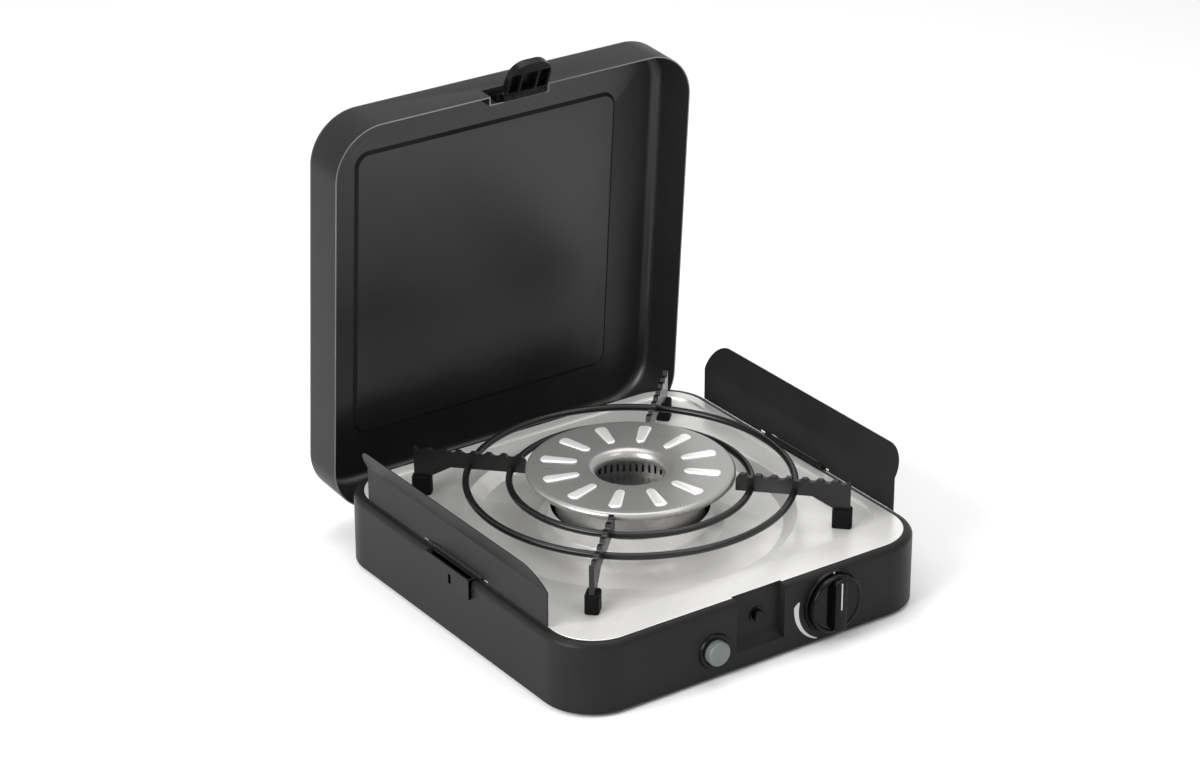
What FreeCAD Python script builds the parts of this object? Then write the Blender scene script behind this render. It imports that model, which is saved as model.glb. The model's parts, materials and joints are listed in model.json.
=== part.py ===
import FreeCAD
import Part
import Sketcher
import math
import os

# Single burner camping stove with a hinged lid, two folding wind shields and a lift-off pan support.
# Lengths are millimetres. X is to the right when the knob faces the viewer, Y to the back, Z up.
# The origin is the middle of the base cover's flat underside, below the burner's axis.

doc = FreeCAD.newDocument("Stove")
sheet = doc.addObject("Spreadsheet::Sheet", "dims")

# Driving dimensions: name, value, meaning.
driving = [
    ("body_w", 300.0, "body width"),
    ("body_d", 302.4, "body depth"),
    ("body_top", 51.8, "height of the body's top flange"),
    ("body_r", 37.0, "plan corner radius of body and lid"),
    ("shoulder_r", 4.5, "rounding between the walls and the top flange"),
    ("steel", 0.9, "painted sheet thickness"),
    ("plate_edge", 143.2, "half width of the hob plate"),
    ("plate_front", 146.4, "distance from the axis to the plate's front edge"),
    ("plate_back", 144.8, "distance from the axis to the plate's back edge"),
    ("plate_t", 0.7, "hob plate thickness"),
    ("plate_step", 1.5, "drop from the plate's rim to its field"),
    ("field_half", 137.2, "half width of the plate's field"),
    ("field_front", 120.5, "distance from the axis to the field's front edge"),
    ("dish_r", 117.0, "outer radius of the plate's dish"),
    ("dish_floor_r", 107.0, "radius where the dish reaches its floor"),
    ("dish_depth", 8.0, "depth of the dish under the field"),
    ("collar_r", 56.0, "inner radius of the collar round the burner"),
    ("collar_top", 56.4, "height of the collar"),
    ("recess_half", 20.0, "half width of the latch recess"),
    ("recess_low", 11.6, "lower front edge of the latch recess"),
    ("recess_depth", 6.6, "depth of the latch recess"),
    ("knob_x", 59.8, "knob axis, across"),
    ("knob_z", 27.3, "knob axis, height"),
    ("knob_r", 21.2, "knob skirt radius"),
    ("knob_reach", 12.0, "how far the knob stands out of the front"),
    ("knob_gap", 3.4, "gap behind the knob, for its push"),
    ("button_x", -38.7, "igniter button axis, across"),
    ("button_z", 20.0, "igniter button axis, height"),
    ("button_r", 8.75, "igniter button radius"),
    ("button_reach", 7.2, "how far the button stands out"),
    ("cap_r", 73.4, "burner cap radius"),
    ("cap_hole", 24.0, "burner cap's clear hole radius"),
    ("cap_face", 84.2, "height of the cap's face"),
    ("cap_lip", 79.8, "lower edge of the cap's lip"),
    ("bowl_r", 52.7, "burner bowl's outer radius"),
    ("flame_r", 47.4, "inner radius of the slotted flame ring"),
    ("ring_z", 74.4, "height of the support rings' wire centre"),
    ("ring_big", 114.7, "outer support ring radius"),
    ("ring_small", 84.5, "inner support ring radius"),
    ("wire_r", 2.5, "support ring wire radius"),
    ("arm_t", 3.6, "support arm thickness"),
    ("arm_low", 73.0, "support arm's lower edge"),
    ("arm_crest", 85.8, "support arm's crest"),
    ("arm_tip", 87.2, "support arm's outer tip"),
    ("arm_in", 74.0, "support arm's inner end"),
    ("arm_out", 154.0, "support arm's outer end"),
    ("valley_pitch", 10.75, "pitch of the arm's valleys"),
    ("valley_depth", 2.3, "depth of the arm's valleys"),
    ("boot_low", 51.05, "underside of the rubber boots"),
    ("shield_x", 145.0, "middle of the shield's flat sheet"),
    ("shield_t", 0.8, "shield sheet thickness"),
    ("shield_bend", 79.0, "height where the shield turns outward"),
    ("shield_top", 98.0, "height of the shield's top edge"),
    ("shield_flare", 9.4, "how far the shield's top edge leans out"),
    ("shield_corner", 17.0, "shield's top corner radius"),
    ("pin_x", 144.6, "shield hinge axis, across"),
    ("pin_z", 55.2, "shield hinge axis, height"),
    ("clip_half", 27.0, "half length of the shield clip"),
    ("lid_half", 149.0, "half width of the lid"),
    ("lid_front", 149.3, "distance from the axis to the closed lid's front"),
    ("lid_back", 151.0, "distance from the axis to the closed lid's back"),
    ("lid_rim", 53.6, "height of the closed lid's rim"),
    ("lid_h", 39.4, "lid height"),
    ("lid_round", 8.3, "rounding of the lid's upper edges"),
    ("panel_half", 107.0, "half width of the lid's pressed panel"),
    ("panel_step", 2.0, "depth of the lid's pressed panel"),
    ("hinge_y", 135.6, "lid hinge axis, from front to back"),
    ("hinge_z", 35.9, "lid hinge axis, height"),
    ("lid_open", 86.2, "angle between the open and the closed lid, degrees"),
    ("hinge_x", 95.0, "hinge arm, across"),
    ("latch_y", -149.1, "latch pin axis on the closed lid, from front to back"),
    ("latch_z", 48.0, "latch pin axis on the closed lid, height"),
    ("latch_w", 34.8, "latch tab width"),
    ("gas_y", -105.0, "gas tap, from front to back"),
    ("inlet_y", -75.0, "gas inlet, from front to back"),
    ("jet_x", 34.0, "injector and mixing tube axis, across"),
]
values = {}
for row, (alias, value, meaning) in enumerate(driving, start=1):
    sheet.set("A%d" % row, alias)
    sheet.set("B%d" % row, str(value))
    sheet.set("C%d" % row, meaning)
    sheet.setAlias("B%d" % row, alias)
    values[alias] = value
doc.recompute()


class Term:
    """A length that carries its sheet formula together with its value."""

    def __init__(self, text, value):
        self.text = text
        self.value = float(value)

    def join(self, other, sign, flip=False):
        other = term(other)
        first, second = (other, self) if flip else (self, other)
        amount = {
            "+": first.value + second.value,
            "-": first.value - second.value,
            "*": first.value * second.value,
        }[sign]
        return Term("(%s %s %s)" % (first.text, sign, second.text), amount)

    def __add__(self, other):
        return self.join(other, "+")

    def __radd__(self, other):
        return self.join(other, "+", True)

    def __sub__(self, other):
        return self.join(other, "-")

    def __rsub__(self, other):
        return self.join(other, "-", True)

    def __mul__(self, other):
        return self.join(other, "*")

    def __rmul__(self, other):
        return self.join(other, "*", True)

    def __truediv__(self, number):
        return self.join(1.0 / number, "*")

    def __neg__(self):
        return self.join(-1.0, "*")


def term(value):
    """Any number or Term as a Term."""
    if isinstance(value, Term):
        return value
    return Term("%.6f" % value if value >= 0 else "(%.6f)" % value, value)


def size(alias):
    """A driving dimension by its name."""
    return Term("dims.%s" % alias, values[alias])


def bind(thing, prop, value):
    """Bind one property to the sheet."""
    thing.setExpression(prop, term(value).text)


def named(kind, label):
    thing = doc.addObject(kind, label)
    thing.Label = label
    return thing


def move(thing, x=0.0, y=0.0, z=0.0, axis=None, angle=0.0):
    """Place a thing: an optional turn about an axis through the origin, then a bound shift."""
    turn = FreeCAD.Rotation(axis, angle) if axis else FreeCAD.Rotation()
    thing.Placement = FreeCAD.Placement(FreeCAD.Vector(), turn)
    for letter, value in zip("xyz", (x, y, z)):
        bind(thing, "Placement.Base.%s" % letter, value)
    return thing


# Primitives given by their limits.

def block(label, low, high):
    """A box between two corners."""
    thing = named("Part::Box", label)
    for prop, start, end in zip(("Length", "Width", "Height"), low, high):
        bind(thing, prop, term(end) - term(start))
    return move(thing, *low)


along = {
    "x": (FreeCAD.Vector(0, 1, 0), 90.0),
    "y": (FreeCAD.Vector(1, 0, 0), -90.0),
    "z": (FreeCAD.Vector(0, 0, 1), 0.0),
}


def rod(label, direction, centre, radius, start, end):
    """A cylinder along x, y or z, between two values on that axis."""
    thing = named("Part::Cylinder", label)
    bind(thing, "Radius", radius)
    bind(thing, "Height", term(end) - term(start))
    place = list(centre)
    place.insert("xyz".index(direction), start)
    axis, angle = along[direction]
    return move(thing, *place, axis=axis, angle=angle)


def cone(label, direction, centre, radius_start, radius_end, start, end):
    """A cone along x, y or z, between two values on that axis."""
    thing = named("Part::Cone", label)
    bind(thing, "Radius1", radius_start)
    bind(thing, "Radius2", radius_end)
    bind(thing, "Height", term(end) - term(start))
    place = list(centre)
    place.insert("xyz".index(direction), start)
    axis, angle = along[direction]
    return move(thing, *place, axis=axis, angle=angle)


def torus(label, radius, wire, z):
    thing = named("Part::Torus", label)
    bind(thing, "Radius1", radius)
    bind(thing, "Radius2", wire)
    return move(thing, 0.0, 0.0, z)


def fuse(label, *things):
    thing = named("Part::MultiFuse", label)
    thing.Shapes = list(things)
    return thing


def cut(label, base, *tools):
    """Base without the tools."""
    thing = named("Part::Cut", label)
    thing.Base = base
    thing.Tool = tools[0] if len(tools) == 1 else fuse(label + "_tools", *tools)
    return thing


def common(label, first, second):
    thing = named("Part::Common", label)
    thing.Base = first
    thing.Tool = second
    return thing


def group(label, *things):
    """Separate solids kept under one name."""
    thing = named("Part::Compound", label)
    thing.Links = list(things)
    return thing


# Bodies made from bound sketches.

def origin_plane(body, role):
    return [item for item in body.Origin.OriginFeatures if item.Role == role][0]


def outline(body, name, role, points):
    """A closed sketch. Each point is (x, y) or (x, y, radius): a radius rounds the way to the next point.

    A positive radius bulges to the right of the way, a negative one to the left."""
    sketch = body.newObject("Sketcher::SketchObject", name)
    sketch.AttachmentSupport = [(origin_plane(body, role), "")]
    sketch.MapMode = "FlatFace"
    corners = [(term(p[0]), term(p[1])) for p in points]
    bows = [p[2] if len(p) > 2 else None for p in points]
    count = len(points)
    ends = []
    for i in range(count):
        a = FreeCAD.Vector(corners[i][0].value, corners[i][1].value, 0)
        b = FreeCAD.Vector(corners[(i + 1) % count][0].value, corners[(i + 1) % count][1].value, 0)
        if bows[i] is None:
            edge = sketch.addGeometry(Part.LineSegment(a, b), False)
            ends.append((edge, 1, 2))
            continue
        bow = term(bows[i])
        radius = abs(bow.value)
        half = (b - a).Length / 2
        rise = math.sqrt(max(radius * radius - half * half, 0.0))
        side = FreeCAD.Vector(-(b - a).y, (b - a).x, 0).normalize()
        if bow.value < 0:
            side = side * -1
        centre = (a + b) * 0.5 + side * rise
        circle = Part.Circle(centre, FreeCAD.Vector(0, 0, 1), radius)
        from_a = math.atan2(a.y - centre.y, a.x - centre.x)
        from_b = math.atan2(b.y - centre.y, b.x - centre.x)
        if bow.value > 0:
            edge = sketch.addGeometry(Part.ArcOfCircle(circle, from_a, from_b), False)
            ends.append((edge, 1, 2))
        else:
            edge = sketch.addGeometry(Part.ArcOfCircle(circle, from_b, from_a), False)
            ends.append((edge, 2, 1))
    for i in range(count):
        edge, first, last = ends[i]
        after, start, _ = ends[(i + 1) % count]
        sketch.addConstraint(Sketcher.Constraint("Coincident", edge, last, after, start))
    for i in range(count):
        edge, first, last = ends[i]
        for kind, value in (("DistanceX", corners[i][0]), ("DistanceY", corners[i][1])):
            index = sketch.addConstraint(Sketcher.Constraint(kind, -1, 1, edge, first, value.value))
            label = "%s%d" % (kind[-1].lower() + "_at_", i)
            sketch.renameConstraint(index, label)
            sketch.setExpression("Constraints.%s" % label, value.text)
        if bows[i] is not None:
            radius = term(bows[i]) if term(bows[i]).value > 0 else -term(bows[i])
            index = sketch.addConstraint(Sketcher.Constraint("Radius", edge, radius.value))
            label = "bow_%d" % i
            sketch.renameConstraint(index, label)
            sketch.setExpression("Constraints.%s" % label, radius.text)
    return sketch


def turned(label, points):
    """A solid of revolution about Z; points are (radius, height)."""
    body = named("PartDesign::Body", label)
    profile = outline(body, label + "_profile", "XZ_Plane", points)
    turn = body.newObject("PartDesign::Revolution", label + "_turn")
    turn.Profile = profile
    turn.ReferenceAxis = (profile, ["V_Axis"])
    turn.Angle = 360.0
    body.Tip = turn
    return body


def slab(label, role, points, start, end, round_end=None):
    """A padded outline on an origin plane, from one height to another on the plane's normal.

    round_end rounds the edges of its far face."""
    body = named("PartDesign::Body", label)
    profile = outline(body, label + "_outline", role, points)
    flip = role == "XZ_Plane"
    low, high = (term(start), term(end))
    # The XZ plane's normal points to -Y, so a slab there is placed by its far side.
    bind(profile, "AttachmentOffset.Base.z", -high if flip else low)
    pad = body.newObject("PartDesign::Pad", label + "_pad")
    pad.Profile = profile
    bind(pad, "Length", high - low)
    body.Tip = pad
    if round_end is not None:
        doc.recompute()
        faces = pad.Shape.Faces
        far = max(range(len(faces)), key=lambda i: faces[i].CenterOfMass.z)
        rounding = body.newObject("PartDesign::Fillet", label + "_rounding")
        rounding.Base = (pad, ["Face%d" % (far + 1)])
        bind(rounding, "Radius", round_end)
        body.Tip = rounding
    return body


def rounded(x0, x1, y0, y1, radius):
    """Points of a rectangle with equal round corners."""
    x0, x1, y0, y1, r = term(x0), term(x1), term(y0), term(y1), term(radius)
    return [
        (x0 + r, y0), (x1 - r, y0, r),
        (x1, y0 + r), (x1, y1 - r, r),
        (x1 - r, y1), (x0 + r, y1, r),
        (x0, y1 - r), (x0, y0 + r, r),
    ]


def rods(label, radius, low, high, spots):
    """Equal upright cylinders kept as one group."""
    return group(label, *[
        rod("%s_%d" % (label, i), "z", spot, radius, low, high) for i, spot in enumerate(spots)
    ])


def radial_block(label, angle, inner, outer, width, low, high):
    """A box that points away from the Z axis at an angle."""
    thing = named("Part::Box", label)
    bind(thing, "Length", term(outer) - term(inner))
    bind(thing, "Width", width)
    bind(thing, "Height", term(high) - term(low))
    turn = FreeCAD.Rotation(FreeCAD.Vector(0, 0, 1), angle)
    start = FreeCAD.Vector(term(inner).value, -term(width).value / 2, 0)
    thing.Placement = FreeCAD.Placement(turn.multVec(start), turn)
    bind(thing, "Placement.Base.z", low)
    return thing


def route(label, points, radius):
    """A tube along straight runs joined by tangent arcs."""
    vectors = [FreeCAD.Vector(*p) for p in points]
    edges = []
    start = vectors[0]
    for i in range(1, len(vectors) - 1):
        before = (vectors[i - 1] - vectors[i])
        after = (vectors[i + 1] - vectors[i])
        reach = 0.45 * min(before.Length, after.Length)
        first = vectors[i] + before.normalize() * reach
        last = vectors[i] + after.normalize() * reach
        half_turn = (math.pi - before.getAngle(after)) / 2
        bend = reach / math.tan(half_turn)
        print("%s bend radius %.1f" % (label, bend))
        centre_way = (before + after).normalize()
        centre = vectors[i] + centre_way * math.hypot(bend, reach)
        middle = centre - centre_way * bend
        edges.append(Part.LineSegment(start, first).toShape())
        edges.append(Part.Arc(first, middle, last).toShape())
        start = last
    edges.append(Part.LineSegment(start, vectors[-1]).toShape())
    path = Part.Wire(edges)
    ring = Part.Wire([Part.Circle(vectors[0], vectors[1] - vectors[0], radius).toShape()])
    tube = path.makePipeShell([ring], True, False)
    expected = path.Length * math.pi * radius ** 2
    print("%s volume %.1f, section times length %.1f" % (label, tube.Volume, expected))
    thing = named("Part::Feature", label)
    thing.Shape = tube
    return thing


parts = {}


def keep(thing):
    """Register a finished sub-part under its label."""
    parts[thing.Label] = thing
    return thing


body_x = size("body_w") / 2
body_y = size("body_d") / 2
steel = size("steel")
top = size("body_top")
shoulder = size("shoulder_r")
corner = size("body_r")
plate_top = top + size("plate_t")
wall_front = -body_y
recess_back = wall_front + size("recess_depth")
knob_x, knob_z = size("knob_x"), size("knob_z")
button_x, button_z = size("button_x"), size("button_z")
hinge_y, hinge_z = size("hinge_y"), size("hinge_z")
gas_y = size("gas_y")
inlet_y = size("inlet_y")


# Body shell: drawn steel box, open below, with a flange under the hob plate.
# The front has a pressed recess for the latch, the sides a window behind each shield clip,
# and the back two slots that the hinge arms swing through.

def body_block(label, inset, low, high, rounding):
    points = rounded(-body_x + inset, body_x - inset, -body_y + inset, body_y - inset, corner - inset)
    return slab(label, "XY_Plane", points, low, high, rounding)


def flat_block(label, inset, low, high):
    return body_block(label, inset, low, high, None)


half = size("recess_half")
pocket_low = size("recess_low")
arm_slot_low = 21.0
shell_outer = body_block("shell_outer", 0.0, 0.0, top, shoulder)
shell_inner = body_block("shell_inner", steel, 2 * steel, top - steel, shoulder - steel)
ramp_rise = 6.0
ramp_bow = 12.0
pocket_wall = slab("pocket_wall", "YZ_Plane", [
    (wall_front + 0.2, pocket_low - 1.1), (wall_front + 0.9, pocket_low - 1.1, ramp_bow),
    (recess_back + steel, pocket_low + ramp_rise - 1.1),
    (recess_back + steel, top - 0.3), (wall_front + 0.2, top - 0.3),
], -half - steel, half + steel)
shell_mouth = flat_block("shell_mouth", 12.0, -1.0, 2 * steel + 0.2)
cover_seat = flat_block("cover_seat", steel, -1.0, steel)
plate_mouth = slab("plate_mouth", "XY_Plane", rounded(-139.5, 139.5, -133.0, 139.5, 26.0), 48.0, 54.0)
shell_hollow = cut("shell_hollow", shell_inner, pocket_wall)
pocket = slab("pocket", "YZ_Plane", [
    (wall_front - 1.0, pocket_low), (wall_front, pocket_low, ramp_bow), (recess_back, pocket_low + ramp_rise),
    (recess_back, top + 1.0), (wall_front - 1.0, top + 1.0),
], -half, half)
windows = [
    block("window_%s" % side, (low, -25.5, 44.0), (high, 25.5, top + 1.0))
    for side, low, high in (("left", -152.0, -145.6), ("right", 145.6, 152.0))
]
arm_slots = [
    block("arm_slot_%s" % side, (x - 3.6, 145.2, arm_slot_low), (x + 3.6, 153.0, top + 1.0))
    for side, x in (("left", -size("hinge_x")), ("right", size("hinge_x")))
]
catch_spot = (1.3, 32.1)
wall_holes = [
    rod("knob_hole", "y", (knob_x, knob_z), 6.0, wall_front - 1.0, wall_front + 3.0),
    rod("button_hole", "y", (button_x, button_z), 10.0, wall_front - 1.0, wall_front + 3.0),
    rod("catch_hole", "y", catch_spot, 2.05, wall_front, recess_back + 3.0),
    rod("inlet_hole", "x", (inlet_y, knob_z), 5.3, 145.0, 152.0),
]
base_screw_spots = [(x, y) for x in (-107.0, 107.0) for y in (-144.5, 144.5)]
base_screw_spots += [(x, y) for x in (-143.3, 143.3) for y in (-60.0, 60.0)]
keep(cut("body_shell", shell_outer, shell_hollow, pocket, shell_mouth, cover_seat, plate_mouth,
         *windows, *arm_slots, *wall_holes,
         rods("flange_holes", 2.05, 0.0, 3.0, base_screw_spots)))


# Base cover: flat steel sheet with a pressed ring bead, air slots round it, holes for the feet and screws.

foot_spots = [(x, y) for x in (-112.0, 112.0) for y in (-112.0, 112.0)]
strap_spots = [(0.0, -50.0), (0.0, 50.0)]
cover_sheet = flat_block("cover_sheet", steel + 0.2, 0.0, steel)
air_slots = group("air_slots", *[
    radial_block("air_slot_%d" % i, 30 * i + 15, 66.0, 92.0, 5.0, -1.0, 2.0) for i in range(12)
])
bead_ridge = turned("bead_ridge", [(38.2, 0.6), (42.8, 0.6), (42.3, steel + 0.5), (38.7, steel + 0.5)])
bead_groove = turned("bead_groove", [(39.1, -1.0), (41.9, -1.0), (41.6, 0.5), (39.4, 0.5)])
keep(cut("base_cover", fuse("cover_form", cover_sheet, bead_ridge), air_slots, bead_groove,
         rods("cover_holes", 2.05, -1.0, 2.0, base_screw_spots + strap_spots),
         rods("foot_holes", 3.0, -1.0, 2.0, foot_spots)))


# Four rubber feet pushed into the cover.

keep(group("rubber_feet", *[
    fuse("foot_%d" % i,
         cone("foot_pad_%d" % i, "z", spot, 8.0, 9.0, -3.0, 0.0),
         rod("foot_stem_%d" % i, "z", spot, 2.95, -0.5, 3.2),
         rod("foot_bead_%d" % i, "z", spot, 3.6, 1.0, 2.4))
    for i, spot in enumerate(foot_spots)
]))


# Pan head screws under the base cover.

keep(group("base_screws", *[
    fuse("screw_%d" % i,
         rod("screw_head_%d" % i, "z", spot, 3.6, -1.6, 0.0),
         rod("screw_shank_%d" % i, "z", spot, 1.95, -0.5, 5.0))
    for i, spot in enumerate(base_screw_spots + strap_spots)
]))


# Hob plate: pressed stainless sheet with a raised rim, a sunk field, a round dish and a burner collar.

plate_t = size("plate_t")
field_top = plate_top - size("plate_step")
field_low = field_top - plate_t
dish_r, floor_r = size("dish_r"), size("dish_floor_r")
floor_top = field_top - size("dish_depth")
collar_r, collar_top = size("collar_r"), size("collar_top")


def field_outline(inset):
    edge = size("field_half") - inset
    return rounded(-edge, edge, -size("field_front") + inset, edge, 30.0 - inset)


plate_edge = size("plate_edge")
rim_sheet = slab("rim_sheet", "XY_Plane",
                 rounded(-plate_edge, plate_edge, -size("plate_front"), size("plate_back"), 32.5),
                 top, plate_top)
rim_opening = slab("rim_opening", "XY_Plane", field_outline(0.0), top - 1.0, plate_top + 1.0)
latch_notch = block("latch_notch", (-half - 0.8, -148.0, top - 1.0),
                    (half + 0.8, recess_back + 0.2, plate_top + 1.0))
step_outer = slab("step_outer", "XY_Plane", field_outline(0.0), field_low, plate_top)
step_inner = slab("step_inner", "XY_Plane", field_outline(plate_t), field_top, plate_top + 1.0)
dish_opening = rod("dish_opening", "z", (0.0, 0.0), dish_r, field_low - 1.0, plate_top + 1.0)
dish = turned("dish", [
    (dish_r + 1.0, field_low),
    (dish_r + 1.0, field_top),
    (dish_r - 0.4, field_top),
    (floor_r, floor_top),
    (66.0, floor_top - 0.7),
    (collar_r + 2.6, collar_top - 8.9),
    (collar_r + 0.7, collar_top),
    (collar_r, collar_top),
    (collar_r + 1.8, collar_top - 9.2),
    (65.7, floor_top - 1.4),
    (floor_r + 0.3, floor_top - plate_t),
    (dish_r - 0.1, field_low),
])
keep(fuse("hob_plate",
          cut("rim", rim_sheet, rim_opening, latch_notch),
          cut("field", step_outer, step_inner, dish_opening),
          dish))


# Catch screw in the latch recess.

keep(fuse("catch_screw",
          rod("catch_washer", "y", catch_spot, 6.2, recess_back - 0.8, recess_back),
          rod("catch_neck", "y", catch_spot, 3.2, recess_back - 2.0, recess_back),
          cone("catch_head", "y", catch_spot, 3.7, 4.2, recess_back - 3.8, recess_back - 2.0),
          rod("catch_shank", "y", catch_spot, 2.0, recess_back - 0.5, recess_back + 8.0)))


# Burner: bowl, air chimney with the mixing chamber's lid, slotted flame ring, pressed cap.

bowl_r, flame_r = size("bowl_r"), size("flame_r")
cap_face, cap_lip, cap_r, cap_hole = size("cap_face"), size("cap_lip"), size("cap_r"), size("cap_hole")
bowl_low = 20.0
bowl_floor = 54.0
tube_z = knob_z
jet_x = size("jet_x")
bowl = turned("bowl", [
    (23.0, bowl_low), (bowl_r, bowl_low), (bowl_r, 62.0), (bowl_r + 2.9, 74.0),
    (bowl_r + 8.8, cap_face - 1.8), (bowl_r + 8.8, cap_face - 0.9), (bowl_r + 2.2, 74.6),
    (bowl_r - 0.9, 62.2), (bowl_r - 0.9, bowl_low + 1.0), (23.0, bowl_low + 1.0),
])
keep(cut("burner_bowl", bowl, rod("tube_mouth", "y", (jet_x, tube_z), 6.1, -60.0, -30.0)))
keep(turned("burner_chimney", [
    (22.0, bowl_low), (23.0, bowl_low), (23.0, bowl_floor - 1.0), (flame_r + 0.8, bowl_floor - 1.0),
    (flame_r + 0.8, bowl_floor), (22.0, bowl_floor),
]))

flame_wall = turned("flame_wall", [
    (flame_r, bowl_floor), (flame_r + 0.8, bowl_floor), (flame_r + 0.8, 73.0),
    (bowl_r + 1.2, 73.0), (bowl_r + 1.2, 73.8), (flame_r, 73.8),
])
flame_slots = 66
keep(cut("flame_ring", flame_wall, group("flame_slots", *[
    radial_block("flame_slot_%d" % i, 360.0 * i / flame_slots, flame_r - 1.0, flame_r + 2.0, 1.7, 56.3, 62.3)
    for i in range(flame_slots)
])))

cap = named("PartDesign::Body", "burner_cap")
cap_profile = outline(cap, "cap_profile", "XZ_Plane", [
    (cap_hole, cap_face - 8.2),
    (cap_hole, cap_face - 5.5, -5.5),
    (cap_hole + 5.5, cap_face),
    (cap_r - 3.0, cap_face, -3.0),
    (cap_r, cap_face - 3.0),
    (cap_r, cap_lip),
    (cap_r - 0.9, cap_lip),
    (cap_r - 0.9, cap_face - 3.0, 2.1),
    (cap_r - 3.0, cap_face - 0.9),
    (cap_hole + 5.5, cap_face - 0.9, 4.6),
    (cap_hole + 0.9, cap_face - 5.5),
    (cap_hole + 0.9, cap_face - 8.2),
])
cap_turn = cap.newObject("PartDesign::Revolution", "cap_turn")
cap_turn.Profile = cap_profile
cap_turn.ReferenceAxis = (cap_profile, ["V_Axis"])
cap_turn.Angle = 360.0
rib_half = 3.2
rib_bow = 3.4
rib_outline = outline(cap, "rib_outline", "XY_Plane", [
    (40.4, -rib_half), (61.0, -rib_half, rib_bow), (61.0, rib_half), (40.4, rib_half, rib_bow),
])
bind(rib_outline, "AttachmentOffset.Base.z", cap_face - 0.5)
rib = cap.newObject("PartDesign::Pad", "rib")
rib.Profile = rib_outline
bind(rib, "Length", 1.7)
rib_ring = cap.newObject("PartDesign::PolarPattern", "rib_ring")
rib_ring.Originals = [rib]
rib_ring.Axis = (rib_outline, ["N_Axis"])
rib_ring.Angle = 360.0
rib_ring.Occurrences = 12
cap.Tip = rib_ring
cap.Placement = FreeCAD.Placement(FreeCAD.Vector(), FreeCAD.Rotation(FreeCAD.Vector(0, 0, 1), 14.6))
keep(cap)


# Burner strap: bent steel that carries the bowl above the base cover.

strap = fuse("strap",
             block("strap_bridge", (-12.0, -58.0, bowl_low - 1.2), (12.0, 58.0, bowl_low)),
             *[block("strap_leg_%d" % i, (-12.0, low, steel), (12.0, low + 1.2, bowl_low))
               for i, low in enumerate((-58.0, 56.8))],
             *[block("strap_foot_%d" % i, (-12.0, low, steel), (12.0, low + 14.0, steel + 1.2))
               for i, low in enumerate((-58.0, 44.0))])
probe_spots = [(8.0, -14.0), (-8.0, -14.0)]
keep(cut("burner_strap", strap,
         rod("strap_air_hole", "z", (0.0, 6.0), 11.5, 15.0, 25.0),
         rods("strap_screw_holes", 2.05, 0.0, 4.0, strap_spots),
         rods("probe_holes", 2.6, 15.0, 25.0, probe_spots)))


# Flame sensor and spark electrode, held in the strap inside the chimney.

keep(rod("flame_sensor", "z", probe_spots[0], 2.2, 16.0, 60.0))
keep(cut("electrode_insulator",
         rod("insulator_rod", "z", probe_spots[1], 2.5, 16.0, 52.0),
         rod("insulator_bore", "z", probe_spots[1], 0.8, 20.0, 53.0)))
keep(rod("electrode_wire", "z", probe_spots[1], 0.8, 20.0, 61.0))


# Gas tap behind the front wall, its carrier plate, injector, mixing tube, pipe and hose inlet.

tap_front = wall_front + steel + 1.5
keep(cut("tap_plate",
         block("tap_plate_sheet", (knob_x - 18.0, wall_front + steel, 10.0), (knob_x + 18.0, tap_front, 46.0)),
         rod("tap_plate_hole", "y", (knob_x, knob_z), 7.3, -152.0, -146.0)))
tap = fuse("tap",
           rod("tap_barrel", "y", (knob_x, knob_z), 12.0, tap_front, gas_y + 9.0),
           rod("tap_magnet", "y", (knob_x, knob_z), 8.0, gas_y + 8.0, gas_y + 31.0),
           rod("tap_inlet_boss", "x", (gas_y, knob_z), 6.0, knob_x, 82.0),
           rod("tap_outlet_boss", "x", (gas_y, knob_z), 6.0, 42.0, knob_x))
keep(cut("gas_tap", tap, rod("tap_bore", "y", (knob_x, knob_z), 7.05, -152.0, -116.4)))
keep(fuse("injector_elbow",
          rod("elbow_inlet", "x", (gas_y, knob_z), 4.6, jet_x, 42.0),
          rod("elbow_barrel", "y", (jet_x, knob_z), 6.0, gas_y - 6.0, gas_y + 8.0)))
keep(fuse("injector",
          rod("injector_hex", "y", (jet_x, knob_z), 4.0, gas_y + 8.0, gas_y + 14.0),
          cone("injector_nose", "y", (jet_x, knob_z), 3.0, 1.4, gas_y + 13.8, gas_y + 19.0)))
tube_outer = fuse("tube_outer",
                  rod("tube_wall", "y", (jet_x, tube_z), 6.0, -78.0, -36.0),
                  cone("tube_flare", "y", (jet_x, tube_z), 9.0, 6.0, -87.0, -77.5))
tube_inner = fuse("tube_inner",
                  rod("tube_bore", "y", (jet_x, tube_z), 5.2, -79.0, -35.0),
                  cone("tube_flare_bore", "y", (jet_x, tube_z), 8.3, 5.2, -87.1, -77.5))
keep(cut("mixing_tube", tube_outer, tube_inner))
pipe_way = [
    (x, place.value, knob_z.value) for x, place in ((82.0, gas_y), (98.0, gas_y), (114.0, inlet_y), (130.0, inlet_y))
]
keep(cut("gas_pipe", route("pipe_wall", pipe_way, 4.0), route("pipe_bore", pipe_way, 3.0)))
nozzle = fuse("nozzle",
              rod("nozzle_base", "x", (inlet_y, knob_z), 5.2, 130.0, 156.0),
              rod("nozzle_flange", "x", (inlet_y, knob_z), 8.0, 146.0, body_x - steel),
              rod("nozzle_stem", "x", (inlet_y, knob_z), 4.5, 155.0, 172.0),
              cone("nozzle_tip", "x", (inlet_y, knob_z), 4.5, 3.6, 172.0, 175.0))
keep(cut("gas_inlet", nozzle, rod("nozzle_bore", "x", (inlet_y, knob_z), 2.4, 129.0, 176.0)))
nut_flat = 7.0
nut_point = nut_flat / math.cos(math.radians(30))
nut_blank = slab("nut_blank", "YZ_Plane", [
    (inlet_y + nut_point * math.cos(math.radians(60 * i)), knob_z + nut_point * math.sin(math.radians(60 * i)))
    for i in range(6)
], body_x, body_x + 3.2)
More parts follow.
